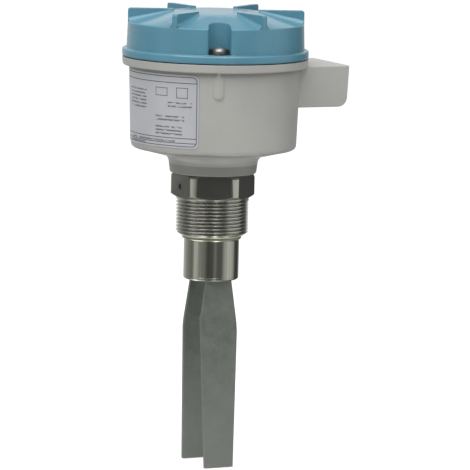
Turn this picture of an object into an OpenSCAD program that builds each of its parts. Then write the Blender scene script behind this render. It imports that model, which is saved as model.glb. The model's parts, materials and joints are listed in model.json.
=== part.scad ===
// Tuning fork level switch for bulk solids, millimetres.
// The origin is the centre of the hexagon's lower face, where the pipe thread starts.
// +Z runs up the axis to the lid, and -Y is the front, where one lid screw sits.
// Angles round the axis are counted from the front, positive towards +X.

/* [Process connection] */
// Hexagon width across the flats
hex_af = 50; // [48:0.5:56]
// Hexagon height
hex_h = 15.5; // [12:0.5:24]
// Diameter turned off the hexagon's corners
hex_corner_cut = 2.6; // [1:0.1:5]
// Height of the chamfer under the hexagon's corners
hex_chamfer = 2.1; // [1:0.1:4]
// Thread crest diameter (1 1/2 inch pipe thread)
thread_d = 47.8; // [44:0.1:48]
// Length of the full thread below the hexagon
thread_l = 23; // [15:0.5:40]
// Height of the lead-in cone at the thread's end
thread_lead = 3.6; // [2:0.1:8]
// Bore for the sensor lead
lead_bore_d = 26; // [16:0.5:30]
// Diameter of the drilled mark that shows the fork's direction
mark_d = 4.2; // [2:0.1:5]
// Depth of the drilled mark
mark_depth = 0.8; // [0.4:0.1:2]

/* [Turning neck] */
// Diameter of the spigot that carries the enclosure
spigot_d = 40; // [34:0.5:42]
// Radial running clearance of the spigot
turn_clear = 0.05; // [0.02:0.01:0.1]
// Gap between the hexagon and the enclosure's neck
turn_gap = 0.7; // [0.4:0.1:2]
// Section of the neck seal
seal_d = 2.6; // [1.8:0.1:3.5]
// Thickness of the retaining ring
ring_t = 1.2; // [0.8:0.1:2]
// How far the retaining ring stands out of the spigot
ring_proud = 2.5; // [1.5:0.1:3.5]
// How deep the retaining ring sits in its groove
ring_seat = 1.2; // [0.8:0.1:2]
// Diameter of the stop dowel in the spigot
dowel_d = 3; // [2:0.1:4]
// Diameter of the stop post in the enclosure
post_d = 4; // [3:0.1:5]

/* [Sensor tube] */
// Outer diameter of the sensor tube
tube_d = 36.5; // [32:0.1:38]
// Wall of the sensor tube
tube_wall = 1.8; // [1:0.1:2.5]
// Depth of the diaphragm's face below the hexagon
tube_end = 54.2; // [50:0.5:120]
// Length of tube held inside the thread
tube_socket = 18; // [8:0.5:19]
// Gap in the welded joints
weld_clear = 0.03; // [0.01:0.01:0.1]
// Thickness of the diaphragm
diaphragm_t = 2; // [1.5:0.1:4]
// Chamfer round the diaphragm's edge
diaphragm_chamfer = 0.8; // [0.3:0.1:1.5]
// Lip of the thread's nose round the tube
nose_lip = 0.3; // [0.2:0.1:1]

/* [Fork] */
// Turn of the fork from the front
fork_turn = 21.5; // [0:0.1:60]
// Thickness of a blade
blade_t = 3; // [2:0.1:5]
// Length of a blade
blade_l = 123.8; // [90:0.1:160]
// Width of a blade at its root
blade_root_w = 17.6; // [14:0.1:22]
// Width of a blade at its shoulders
blade_shoulder_w = 25.8; // [22:0.1:30]
// Width of a blade at its tip
blade_tip_w = 19.8; // [18:0.1:26]
// Depth of the sharp shoulder below the root
shoulder_sharp = 23.8; // [20:0.1:40]
// Depth of the soft shoulder below the root
shoulder_soft = 33.6; // [24:0.1:50]
// Height of the ground step at the sharp shoulder
shoulder_step = 4.2; // [1:0.1:6]
// Distance of a blade's middle from the axis at its root
blade_offset = 12.2; // [9:0.05:12.6]
// Outward lean of a blade
blade_splay = 2.8; // [0:0.1:4]
// Room between a blade's root and the diaphragm
flex_clear = 0.2; // [0.15:0.01:0.4]

/* [Enclosure] */
// Diameter at the neck's lower edge
neck_d = 57; // [54:0.1:62]
// Height of the neck's cylinder
neck_h = 6.1; // [4:0.1:12]
// Outward lean of the neck over its height
neck_flare = 0.7; // [0:0.1:2]
// Radius between the neck and the underside
flare_r = 6; // [3:0.5:8]
// Rise of the underside from the neck to the wall
base_rise = 4; // [1:0.1:8]
// Diameter at the wall's lower edge
base_d = 108.6; // [104:0.2:124]
// Height of the wall up to the flange
wall_h = 54.4; // [48:0.1:70]
// Draft of the wall, in radius
wall_draft = 1.6; // [0:0.1:3]
// Thickness of the wall
wall_t = 3.4; // [2.5:0.1:4.5]
// Thickness of the floor
floor_t = 3.7; // [2.5:0.1:6]
// Overhang of the flange
flange_over = 5.1; // [3:0.1:7]
// Height of the flange
flange_h = 5.2; // [4:0.1:9]
// Fillet under the flange
flange_fillet = 1.2; // [0.5:0.1:1.8]

/* [Cable entries] */
// Direction of the cable block from the front
block_turn = 111; // [100:1:116]
// Width of the cable block
block_w = 56; // [54:0.5:70]
// Reach of the cable block from the axis
block_reach = 84; // [76:0.1:100]
// Height of the cable block
block_h = 27.2; // [25:0.1:32]
// Drop of the block's top below the flange's top
block_drop = 4.4; // [1:0.1:8]
// Radius of the block's lower outer edge
block_round = 6.5; // [3:0.1:8]
// Draft of the block's end face
block_draft = 1.1; // [0:0.1:2]
// Core diameter of an entry's M20 x 1.5 thread
entry_d = 18.4; // [16:0.1:20]
// Length of an entry's thread
entry_l = 14; // [10:0.5:18]
// Diameter of the passage behind an entry's thread
passage_d = 16; // [12:0.1:16.4]
// Distance between the entries
entry_pitch = 28; // [25:0.5:34]
// Diameter of the flat seat round an entry
seat_d = 22; // [21:0.1:24]
// Depth of the flat seat
seat_depth = 1.6; // [1.5:0.1:2.5]

/* [Lid] */
// Thickness of the gasket
gasket_t = 0.6; // [0.4:0.1:2]
// Width of the gasket
gasket_w = 6; // [4:0.1:6.5]
// How far the lid's rim stands over the flange
rim_over = 0.1; // [0:0.1:2]
// Height of the lid's rim
rim_h = 5.1; // [3:0.1:8]
// Width of the ledge on the rim
ledge_w = 2.8; // [2:0.1:4]
// Height of the lid's wall above the rim
lid_wall_h = 17.1; // [12:0.1:30]
// Draft of the lid's wall, in radius
lid_draft = 0.6; // [0:0.1:1.5]
// Rise of the cone from the wall to the central flat
cone_rise = 7.4; // [4:0.1:14]
// Diameter of the central flat
disc_d = 58; // [40:0.2:70]
// Thickness of the lid
lid_t = 3; // [2:0.1:4]
// Thickness of a rib
rib_t = 3.6; // [2:0.1:6]
// Height of the ribs above the central flat
rib_proud = 1.3; // [0.3:0.1:2]

/* [Lid screws] */
// Distance of a screw inside the wall's top edge
screw_inset = 5.4; // [4:0.1:5.6]
// Radius of a screw boss in the enclosure
boss_r = 6.2; // [5:0.1:6.4]
// Length of a boss inside, below the flange
boss_l = 3.4; // [2.6:0.1:3.6]
// Length of the bulge that a boss makes in the wall
bulge_l = 17.6; // [10:0.1:20]
// How far that bulge stands out of the wall
bulge_out = 0.8; // [0.4:0.1:1.2]
// Thread diameter of a lid screw
screw_d = 5; // [4:0.1:5]
// Length of a lid screw under its head
screw_l = 14; // [12:0.1:14.4]
// Diameter of a screw head
head_d = 9.2; // [8:0.1:9.6]
// Height of a screw head
head_h = 4; // [2.5:0.1:4.5]
// Radius of a screw channel
channel_r = 7; // [6.6:0.1:7.6]
// Rounding of a channel's lips
lip_r = 2.4; // [1:0.1:3]
// Diameter of a sealing grommet
grommet_d = 12.6; // [10:0.1:13]
// Thickness of a sealing grommet under the screw head
grommet_h = 0.6; // [0.4:0.1:1]
// Radial clearance round screws
screw_clear = 0.3; // [0.2:0.05:0.5]

/* [Nameplate] */
// Angle of the plate's near edge left of the front
plate_from = 13; // [10:1:30]
// Angle that the plate covers
plate_span = 93; // [60:1:110]
// Height of the plate's lower edge above the wall's lower edge
plate_lift = 4.7; // [3.6:0.1:5.6]
// Height of the plate
plate_h = 47.4; // [30:0.1:47.8]
// Thickness of the plate
plate_t = 0.4; // [0.3:0.05:0.8]
// Corner radius of the plate
plate_r = 3.6; // [1:0.1:6]
// Glue gap under the plate
glue_t = 0.03; // [0.01:0.01:0.1]

/* [Electronics] */
// Height of the board above the enclosure's floor
board_lift = 24; // [20:0.5:28]
// Thickness of the board
board_t = 1.6; // [1:0.1:2.4]
// Room between the board and the screw bosses
board_clear = 1.3; // [0.8:0.1:3]
// Diameter of the board's lead hole
lead_hole_d = 9; // [7:0.1:12]
// Diameter of the sensor lead
lead_d = 6; // [4:0.1:6.5]
// Diameter of a board pillar
pillar_d = 8; // [7:0.1:10]
// Thread diameter of a board screw
board_screw_d = 3; // [2:0.1:3]
// Number of terminals
terminals = 8; // [4:1:9]
// Pitch of the terminals
terminal_pitch = 5; // [4:0.1:5.5]
// Travel of a slide switch
switch_travel = 2; // [1.5:0.1:2.5]

/* [Piezo drive] */
// Diameter of the drive stud
stud_d = 6; // [4:0.1:6]
// Outer diameter of the piezo rings
piezo_d = 24; // [20:0.1:26]
// Thickness of a piezo ring
piezo_t = 2; // [1.5:0.1:2.5]
// Number of piezo rings
piezo_count = 4; // [2:1:4]
// Thickness of a contact plate
contact_t = 0.3; // [0.2:0.05:0.5]
// Thickness of an insulator ring
insulator_t = 1.5; // [1:0.1:2]
// Height of the drive ring
drive_ring_h = 7; // [6:0.1:8]
// Thickness of the pressure plate and of the clamp plate
press_t = 3; // [2:0.1:4]
// Height of the clamp nut
nut_h = 5; // [4:0.1:6]

/* [Hidden] */
$fn = 96;
small_fn = 32;
eps = 0.01;
cut = 1;

// Heights up the axis
z_neck = hex_h + turn_gap;
z_crease = z_neck + neck_h;
z_flare = z_crease + flare_r;
z_base = z_flare + base_rise;
z_floor = z_base + floor_t;
hub_rise = 2;
z_hub = z_floor + hub_rise;
z_flange = z_base + wall_h;
z_top = z_flange + flange_h;
z_lid = z_top + gasket_t;
z_rim = z_lid + rim_h;
z_eave = z_rim + lid_wall_h;
z_disc = z_eave + cone_rise;
z_rib = z_disc + rib_proud;

// Radii of the process connection
hex_r = hex_af / 2 / cos(30);
turned_r = hex_r - hex_corner_cut / 2;
thread_r = thread_d / 2;
foot_land = 0.3;
tube_r = tube_d / 2;
tube_bore_r = tube_r - tube_wall;
nose_r = tube_r + nose_lip;
z_nose = -thread_l - thread_lead;
z_socket = z_nose + tube_socket;
spigot_r = spigot_d / 2;

// Small steps of a blade's outline
step_in = 1.3;
soft_run = 6;
soft_in = 0.4;

// Neck seal, retaining ring and stop
seal_room = 0.3;
seal_groove_r = spigot_r - seal_d - eps;
ring_clear = 0.3;
z_ring = z_hub + ring_clear;
ring_gap = 40;
ring_side = 0.03;
dowel_clear = 0.4;
z_dowel = z_ring + ring_t + dowel_clear + dowel_d / 2;
spigot_end = 2.6;
z_spigot = z_dowel + spigot_end;
post_room = 0.4;
post_r = spigot_r + ring_proud + post_room + post_d / 2;
post_sunk = 4;
post_fit = 0.02;
dowel_out = post_r + post_d / 4;
hub_land = 1.5;
hub_r = post_r + post_d / 2 + hub_land;

// Radii of the enclosure
neck_r = neck_d / 2;
neck_top_r = neck_r + neck_flare;
neck_edge = 0.6;
base_r = base_d / 2;
base_edge = 3;
wall_r = base_r + wall_draft;
flange_r = wall_r + flange_over;
flange_draft = 0.4;
flange_edge = 0.6;
screw_r = wall_r - screw_inset;
screw_turns = [0, 120, 240];
z_boss = z_flange - boss_l;
bulge_turns = [0, 240];
bulge_r = screw_inset + bulge_out;
pilot_fit = 0.03;
pilot_room = 0.3;

// Radii of the lid
rim_r = flange_r + rim_over;
rim_edge = 1.2;
lid_r = rim_r - ledge_w;
eave_r = lid_r - lid_draft;
eave_edge = 0.7;
disc_r = disc_d / 2;
cone_slope = cone_rise / (eave_r - disc_r);
gasket_out = 1;
gasket_in_r = flange_r - gasket_out - gasket_w;
rib_turns = [for (i = [0:5]) 30 + i * 60];
channel_wall = 2.6;
seat_rise = 0.4;
collar_open = 1;
collar_h = head_h * 0.65;
head_side = head_h * 0.3;
z_seat = z_rim + seat_rise;
head_z = z_seat + grommet_h;

// Cable block
z_block_top = z_top - block_drop;
z_block = z_block_top - block_h;
z_entry = z_block + block_h / 2;
block_edge = 1;
block_sunk = 4;
block_root = base_r - wall_t - block_sunk;
entry_sides = [-1, 1];
passage_from = block_reach - seat_depth - entry_l;

// Board
board_r = screw_r - boss_r - board_clear;
z_board = z_floor + board_lift;
z_parts = z_board + board_t;
pillar_inset = 5;
pillar_r = board_r - pillar_inset;
pillar_turns = [60, 180, 300];
board_screw_head_d = 5.5;
board_screw_head_h = 2;
board_screw_l = 9;

// Board parts: width, depth, height
terminal_d = 14;
terminal_h = 14;
terminal_screw_d = 3.6;
terminal_screw_h = 2.2;
terminal_w = terminals * terminal_pitch;
terminal_y = board_r - 21;
relay_size = [29, 12.6, 15.7];
relay_at = [24 - board_r, 15];
transformer_size = [22, 20, 17];
transformer_at = [15, board_r - 22];
capacitor_d = 10;
capacitor_h = 18;
capacitor_at = [13 - board_r, -1];
lamp_d = 5;
lamp_h = 8;
lamp_at = [board_r - 12, -1];
switch_size = [9, 5, 4.2];
slider_size = [1.8, 2.4, 2.6];
slider_room = 0.3;
mode_at = [-14, -3.5];
sensitivity_at = [17, -3.5];
trimmer_size = [8, 8, 4.6];
trimmer_at = [-12, 3.5];
rotor_d = 5;
rotor_h = 1.6;
rotor_sunk = 0.8;
rotor_clear = 0.05;
plug_size = [12, 9, 7];
case_edge = 0.6;
small_edge = 0.4;
slider_edge = 0.3;

// Piezo drive
z_dia = -tube_end;
z_web = z_dia + diaphragm_t;
stud_boss_r = stud_d;
stud_boss_h = 5;
stud_sunk = 3.5;
stud_clear = 0.3;
drive_ring_wall = 4.5;
drive_ring_room = 1.5;
drive_ring_r = tube_bore_r - drive_ring_room;
z_press = z_web + drive_ring_h;
z_stack = z_press + press_t;
z_piezo = z_stack + insulator_t + contact_t;
piezo_step = piezo_t + contact_t;
z_stack_top = z_piezo + piezo_count * piezo_step + insulator_t;
z_clamp = z_stack_top + press_t;
stud_proud = 1.5;
z_stud = z_clamp + nut_h + stud_proud;
nut_ratio = 1.65;
nut_af = stud_d * nut_ratio;
tab_w = 4;
tab_l = 2;
lead_gap = 0.5;

// Colours
enclosure_white = [0.86, 0.86, 0.83];
lid_blue = [0.30, 0.56, 0.68];
steel = [0.62, 0.63, 0.61];
fork_grey = [0.42, 0.43, 0.42];
rubber_black = [0.06, 0.06, 0.07];
plate_silver = [0.80, 0.81, 0.84];
board_green = [0.10, 0.35, 0.20];
terminal_green = [0.25, 0.50, 0.28];
relay_grey = [0.20, 0.21, 0.23];
ceramic_white = [0.90, 0.88, 0.82];
brass_gold = [0.75, 0.60, 0.30];
lamp_red = [0.75, 0.15, 0.12];
trimmer_blue = [0.20, 0.30, 0.55];

// Points of an arc, from angle a0 to angle a1
function arc(x, y, r, a0, a1, n = 6) =
    [for (i = [0:n]) [x + r * cos(a0 + (a1 - a0) * i / n), y + r * sin(a0 + (a1 - a0) * i / n)]];

// Radius of the enclosure's wall at a height
function wall_at(z) =
    base_r + wall_draft * (z - z_base - base_edge) / (wall_h - base_edge - flange_fillet);

// Height of the lid's cone at a radius
function cone_at(r) = z_disc - (r - disc_r) * cone_slope;

// Puts its children at an angle from the front and a distance from the axis
module at(turn, r = 0) {
    rotate([0, 0, turn]) translate([0, -r, 0]) children();
}

// Rectangle with round corners, in the corner from the origin
module round_rect(w, h, r) {
    translate([r, 0]) square([w - 2 * r, h]);
    translate([0, r]) square([w, h - 2 * r]);
    for (x = [r, w - r], y = [r, h - r]) translate([x, y]) circle(r, $fn = small_fn);
}

// Ring between two radii
module ring(r_out, r_in, h) {
    difference() {
        cylinder(r = r_out, h = h);
        translate([0, 0, -cut]) cylinder(r = r_in, h = h + 2 * cut);
    }
}

// Board part as a block that stands on the board
module board_box(place, size, edge = case_edge) {
    translate([place[0] - size[0] / 2, place[1] - size[1] / 2, z_parts])
        linear_extrude(size[2]) round_rect(size[0], size[1], edge);
}

// Outer form of the enclosure's casting, without the cable block
module enclosure_form() {
    rotate_extrude() polygon(concat(
        [[0, z_neck], [neck_r - neck_edge, z_neck], [neck_r, z_neck + neck_edge],
         [neck_top_r, z_crease]],
        arc(neck_top_r + flare_r, z_crease, flare_r, 180, 90, 8),
        arc(base_r - base_edge, z_base + base_edge, base_edge, 270, 360),
        arc(wall_r + flange_fillet, z_flange - flange_fillet, flange_fillet, 180, 90),
        [[flange_r - flange_draft - flange_edge, z_flange],
         [flange_r - flange_draft, z_flange + flange_edge],
         [flange_r, z_top - flange_edge / 2], [flange_r - flange_edge / 2, z_top], [0, z_top]]));
}

// Round-ended bulge of a screw boss in the wall
module boss_bulge() {
    translate([0, 0, z_flange - bulge_l + bulge_r]) {
        cylinder(r = bulge_r, h = bulge_l - bulge_r + cut);
        sphere(r = bulge_r);
    }
}

// Room inside the casting: floor, raised hub and drafted wall
module enclosure_room() {
    rotate_extrude() polygon([[0, z_hub], [hub_r, z_hub], [hub_r, z_floor],
        [wall_at(z_floor) - wall_t, z_floor], [wall_at(z_top) - wall_t, z_top + cut],
        [0, z_top + cut]]);
}

// Block that carries the two cable entries, rounded on its lower outer edge
module cable_block() {
    intersection() {
        rotate([90, 0, -90]) linear_extrude(block_w, center = true) polygon(concat(
            [[block_root, z_block]],
            arc(block_reach - block_draft - block_round, z_block + block_round, block_round, 270, 360),
            [[block_reach, z_block_top], [block_root, z_block_top]]));
        translate([0, -block_root, 0]) rotate([90, 0, 0]) linear_extrude(block_reach)
            translate([-block_w / 2, z_block]) round_rect(block_w, block_h, block_edge);
    }
}

// Seat, thread core and inner passage of one cable entry
module entry_hole() {
    rotate([-90, 0, 0]) {
        translate([0, 0, -cut]) cylinder(d = seat_d, h = seat_depth + cut);
        cylinder(d = entry_d, h = seat_depth + entry_l);
        translate([0, 0, seat_depth + entry_l - eps])
            cylinder(d = passage_d, h = passage_from - block_root + wall_t);
    }
}

// Screw boss that is left standing in the room
module screw_boss() {
    translate([0, 0, z_boss]) cylinder(r = boss_r, h = z_top - z_boss + 2 * cut);
}

// One casting: bowl, neck, flange, cable block, screw bosses and board pillars
module housing() {
    color(enclosure_white) difference() {
        union() {
            difference() {
                union() {
                    enclosure_form();
                    at(block_turn) cable_block();
                    for (a = bulge_turns) at(a, screw_r) boss_bulge();
                }
                difference() {
                    enclosure_room();
                    for (a = screw_turns) at(a, screw_r) screw_boss();
                }
            }
            for (a = pillar_turns) at(a, pillar_r) translate([0, 0, z_floor - eps])
                cylinder(d = pillar_d, h = board_lift + eps);
        }
        translate([0, 0, z_neck - cut]) cylinder(r = spigot_r + turn_clear, h = z_hub - z_neck + 2 * cut);
        for (side = entry_sides) at(block_turn) translate([side * entry_pitch / 2, -block_reach, z_entry])
            entry_hole();
        for (a = screw_turns) at(a, screw_r)
            translate([0, 0, head_z - screw_l - pilot_room])
                cylinder(r = screw_d / 2 + pilot_fit, h = screw_l, $fn = small_fn);
        for (a = pillar_turns) at(a, pillar_r)
            translate([0, 0, z_parts - board_screw_l - pilot_room])
                cylinder(r = board_screw_d / 2 + pilot_fit, h = board_screw_l, $fn = small_fn);
        at(180, post_r) translate([0, 0, z_hub - post_sunk])
            cylinder(r = post_d / 2 + post_fit, h = post_sunk + cut, $fn = small_fn);
    }
}

// Outer form of the lid: rim, drafted wall, cone and central flat
module lid_form() {
    rotate_extrude() polygon(concat(
        [[0, z_lid], [rim_r - flange_edge, z_lid], [rim_r, z_lid + flange_edge]],
        arc(rim_r - rim_edge, z_rim - rim_edge, rim_edge, 0, 90),
        [[lid_r, z_rim]],
        arc(eave_r - eave_edge, z_eave - eave_edge, eave_edge, 0, 75),
        [[disc_r, z_disc], [0, z_disc]]));
}

// Room inside the lid
module lid_room() {
    rotate_extrude() polygon([[0, z_lid - cut], [gasket_in_r, z_lid - cut], [gasket_in_r, z_rim],
        [eave_r - lid_t, z_eave - lid_t], [disc_r, z_disc - lid_t], [0, z_disc - lid_t]]);
}

// Plan of a screw channel that opens through the wall, with rounded lips
module channel_plan(r) {
    circle(r);
    translate([-r, -ledge_w - lid_r]) square([2 * r, ledge_w + lid_r]);
}

// Lips where a channel meets the wall
module channel_lips() {
    lip_y = eave_r - screw_r - lip_r;
    difference() {
        translate([-channel_r - lip_r, -lip_y - 3 * lip_r])
            square([2 * (channel_r + lip_r), 3 * lip_r]);
        for (side = [-1, 1]) translate([side * (channel_r + lip_r), -lip_y])
            circle(lip_r, $fn = small_fn);
    }
}

// Radial rib from the central flat to the wall, its top level all the way
module lid_rib() {
    rotate([90, 0, -90]) linear_extrude(rib_t, center = true)
        polygon([[disc_r - rib_proud, z_disc - cut], [disc_r, cone_at(disc_r) - cut],
            [rim_r, cone_at(rim_r) - cut], [rim_r, z_rib], [disc_r - rib_proud, z_rib]]);
}

// One casting: cap with six ribs and three screw channels
module lid() {
    color(lid_blue) difference() {
        union() {
            difference() {
                lid_form();
                lid_room();
            }
            intersection() {
                lid_form();
                for (a = screw_turns) at(a, screw_r) translate([0, 0, z_lid])
                    linear_extrude(z_rib - z_lid) channel_plan(channel_r + channel_wall);
            }
            intersection() {
                for (a = rib_turns) at(a) lid_rib();
                cylinder(r = eave_r, h = z_rib);
            }
        }
        for (a = screw_turns) at(a, screw_r) {
            translate([0, 0, z_seat]) linear_extrude(z_rib) union() {
                channel_plan(channel_r);
                channel_lips();
            }
            translate([0, 0, z_lid - cut]) cylinder(r = screw_d / 2 + screw_clear, h = rim_h + 2 * cut);
        }
    }
}

// Flat sealing ring between the flange and the lid
module lid_gasket() {
    color(rubber_black) translate([0, 0, z_top])
        ring(gasket_in_r + gasket_w, gasket_in_r, gasket_t);
}

// Domed head of a lid screw
module screw_head() {
    dome_h = head_h - head_side;
    rotate_extrude() polygon(concat([[0, 0], [head_d / 2, 0]],
        [for (i = [0:7]) [head_d / 2 * cos(12 * i), head_side + dome_h * sin(12 * i)]],
        [[0, head_h]]));
}

// Slotted pan-head screws
module lid_screws() {
    slot_w = 1.2;
    slot_h = 1.3;
    color(steel) for (a = screw_turns) at(a, screw_r) difference() {
        union() {
            translate([0, 0, head_z - screw_l]) cylinder(d = screw_d, h = screw_l + eps, $fn = small_fn);
            translate([0, 0, head_z]) screw_head();
        }
        translate([-head_d, -slot_w / 2, head_z + head_h - slot_h])
            cube([2 * head_d, slot_w, slot_h + cut]);
    }
}

// Rubber washers that seal the screw heads, each with a half collar behind the head
module screw_grommets() {
    color(rubber_black) for (a = screw_turns) at(a, screw_r) translate([0, 0, z_seat]) {
        ring(grommet_d / 2, screw_d / 2 + screw_clear, grommet_h);
        difference() {
            ring(grommet_d / 2, head_d / 2 + screw_clear, grommet_h + collar_h);
            translate([-grommet_d, -collar_open - 2 * grommet_d, grommet_h])
                cube([2 * grommet_d, 2 * grommet_d, head_h + cut]);
        }
    }
}

// Curved sheet on the wall between two heights
module plate_band(z0, z1) {
    rotate_extrude(angle = plate_span) polygon([
        [wall_at(z0) + glue_t, z0], [wall_at(z0) + glue_t + plate_t, z0],
        [wall_at(z1) + glue_t + plate_t, z1], [wall_at(z1) + glue_t, z1]]);
}

// Nameplate: a bare sheet with round corners that follows the wall
module nameplate() {
    z0 = z_base + plate_lift;
    z1 = z0 + plate_h;
    corner = plate_r / base_r * 180 / PI;
    color(plate_silver) rotate([0, 0, -90 - plate_from - plate_span]) difference() {
        plate_band(z0, z1);
        for (end = [0, 1], z = [z0, z1]) rotate([0, 0, end * plate_span])
            plate_corner(end == 0 ? 1 : -1, z, z == z0 ? 1 : -1, corner);
    }
}

// Corner that is cut off the plate: a square less a round that just crosses the plate's edges
module plate_corner(turn, z, up, corner) {
    over = 0.03;
    difference() {
        translate([base_r / 2, 0, z]) rotate([90, 0, 90]) linear_extrude(base_r)
            translate([-plate_r, -plate_r]) square(2 * plate_r);
        rotate([0, 0, turn * corner]) translate([base_r / 2 - cut, 0, z + up * plate_r]) rotate([0, 90, 0])
            cylinder(r = plate_r + over, h = base_r + 2 * cut, $fn = small_fn);
        rotate([0, 0, turn * corner])
            translate([base_r / 2 - cut, turn > 0 ? 0 : -3 * plate_r, z - 3 * plate_r])
            cube([base_r + 2 * cut, 3 * plate_r, 6 * plate_r]);
        translate([base_r / 2 - cut, -3 * plate_r, up > 0 ? z + plate_r : z - 4 * plate_r])
            cube([base_r + 2 * cut, 6 * plate_r, 3 * plate_r]);
    }
}

// Hexagon, pipe thread on its crest diameter, nose, and the spigot that carries the enclosure
module process_connection() {
    color(steel) difference() {
        union() {
            intersection() {
                cylinder(r = hex_r, h = hex_h, $fn = 6);
                rotate_extrude() polygon([[0, 0], [thread_r + foot_land, 0], [turned_r, hex_chamfer],
                    [turned_r, hex_h - neck_edge], [turned_r - neck_edge, hex_h], [0, hex_h]]);
            }
            rotate_extrude() polygon([[0, eps], [thread_r, eps], [thread_r, -thread_l], [nose_r, z_nose],
                [0, z_nose]]);
            translate([0, 0, hex_h - eps]) cylinder(r = spigot_r, h = z_spigot - hex_h + eps);
        }
        translate([0, 0, z_nose - cut]) cylinder(r = tube_r + weld_clear, h = tube_socket + cut);
        translate([0, 0, z_socket - eps]) cylinder(d = lead_bore_d, h = z_spigot - z_socket + cut);
        translate([0, 0, z_crease - seal_d / 2 - seal_room])
            ring(spigot_r + cut, seal_groove_r, seal_d + 2 * seal_room);
        translate([0, 0, z_ring - ring_side])
            ring(spigot_r + cut, spigot_r - ring_seat, ring_t + 2 * ring_side);
        translate([0, 0, z_dowel]) rotate([90, 0, 0])
            cylinder(r = dowel_d / 2 + post_fit, h = spigot_r + cut, $fn = small_fn);
        at(-60, hex_af / 2 - mark_depth) translate([0, 0, hex_h / 2]) rotate([90, 0, 0])
            cylinder(d = mark_d, h = 2 * mark_depth, $fn = small_fn);
    }
}

// Round-section ring in the spigot's groove
module neck_seal() {
    color(rubber_black) translate([0, 0, z_crease]) rotate_extrude()
        translate([spigot_r - seal_d / 2, 0]) circle(d = seal_d, $fn = small_fn);
}

// Split ring that keeps the enclosure on the spigot
module retaining_ring() {
    color(steel) translate([0, 0, z_ring]) rotate([0, 0, 90 + ring_gap / 2])
        rotate_extrude(angle = 360 - ring_gap)
            translate([spigot_r - ring_seat + ring_side, 0])
                square([ring_seat - ring_side + ring_proud, ring_t]);
}

// Dowel pressed into the spigot, which ends the enclosure's turn
module stop_dowel() {
    inner = lead_bore_d / 2 + 1;
    color(steel) translate([0, -inner, z_dowel]) rotate([90, 0, 0])
        cylinder(d = dowel_d, h = dowel_out - inner, $fn = small_fn);
}

// Post in the enclosure's hub, which meets the dowel at either end of the turn
module stop_post() {
    color(steel) at(180, post_r) translate([0, 0, z_hub - post_sunk])
        cylinder(d = post_d, h = z_dowel + dowel_d / 2 - z_hub + post_sunk, $fn = small_fn);
}

// Thin stainless tube between the thread and the diaphragm
module sensor_tube() {
    color(steel) translate([0, 0, z_web]) ring(tube_r, tube_bore_r, z_socket - z_web);
}

// Diaphragm that closes the tube, with a boss for the drive stud
module diaphragm() {
    color(steel) difference() {
        rotate_extrude() polygon([[0, z_dia], [tube_r - diaphragm_chamfer, z_dia],
            [tube_r, z_dia + diaphragm_chamfer], [tube_r, z_web], [stud_boss_r, z_web],
            [stud_boss_r, z_web + stud_boss_h], [0, z_web + stud_boss_h]]);
        translate([0, 0, z_web + stud_boss_h - stud_sunk])
            cylinder(r = stud_d / 2 + weld_clear, h = stud_sunk + cut, $fn = small_fn);
    }
}

// Flat blade that hangs from its root at the origin: one sharp and one soft shoulder, square tip
module blade() {
    root = blade_root_w / 2;
    shoulder = blade_shoulder_w / 2;
    tip = blade_tip_w / 2;
    rotate([90, 0, 0]) linear_extrude(blade_t, center = true)
        polygon([[-root, 0], [step_in - shoulder, shoulder_step - shoulder_sharp],
            [-shoulder, -shoulder_sharp], [-tip, -blade_l], [tip, -blade_l],
            [shoulder, -shoulder_soft], [shoulder - soft_in, soft_run - shoulder_soft], [root, 0]]);
}

// A blade at its place, leaning outwards from the diaphragm
module fork_blade(turn) {
    at(turn, blade_offset) translate([0, 0, z_dia - flex_clear]) rotate([-blade_splay, 0, 0]) blade();
}

module fork_blade_front() {
    color(fork_grey) fork_blade(fork_turn);
}

module fork_blade_rear() {
    color(fork_grey) fork_blade(fork_turn + 180);
}

// Stud that pulls the piezo stack against the diaphragm
module drive_stud() {
    color(steel) translate([0, 0, z_web + stud_boss_h - stud_sunk])
        cylinder(d = stud_d, h = z_stud - z_web - stud_boss_h + stud_sunk, $fn = small_fn);
}

// Ring that carries the stack's push to the diaphragm's rim
module drive_ring() {
    color(steel) translate([0, 0, z_web])
        ring(drive_ring_r, drive_ring_r - drive_ring_wall, drive_ring_h);
}

// Plate between the drive ring and the stack
module pressure_plate() {
    color(steel) translate([0, 0, z_press]) ring(drive_ring_r, stud_d / 2 + stud_clear, press_t);
}

// Ceramic rings at both ends of the stack
module insulator_rings() {
    color(ceramic_white) for (z = [z_stack, z_stack_top - insulator_t]) translate([0, 0, z])
        ring(piezo_d / 2, stud_d / 2 + stud_clear, insulator_t);
}

// Piezo rings of the stack
module piezo_rings() {
    color(ceramic_white) for (i = [0:piezo_count - 1]) translate([0, 0, z_piezo + i * piezo_step])
        ring(piezo_d / 2, stud_d / 2 + 2 * stud_clear, piezo_t);
}

// Brass contacts between the rings, each with a solder tab
module contact_plates() {
    color(brass_gold) for (i = [0:piezo_count]) translate([0, 0, z_piezo - contact_t + i * piezo_step])
        difference() {
            union() {
                cylinder(d = piezo_d, h = contact_t);
                rotate([0, 0, i * 360 / (piezo_count + 1)]) translate([-tab_w / 2, 0, 0])
                    cube([tab_w, piezo_d / 2 + tab_l, contact_t]);
            }
            translate([0, 0, -cut]) cylinder(r = stud_d / 2 + 2 * stud_clear, h = contact_t + 2 * cut);
        }
}

// Plate under the clamp nut
module clamp_plate() {
    color(steel) translate([0, 0, z_stack_top]) ring(piezo_d / 2, stud_d / 2 + stud_clear, press_t);
}

// Nut that clamps the stack
module clamp_nut() {
    color(steel) translate([0, 0, z_clamp]) difference() {
        cylinder(r = nut_af / 2 / cos(30), h = nut_h, $fn = 6);
        translate([0, 0, -cut]) cylinder(r = stud_d / 2 + weld_clear, h = nut_h + 2 * cut, $fn = small_fn);
    }
}

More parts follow.
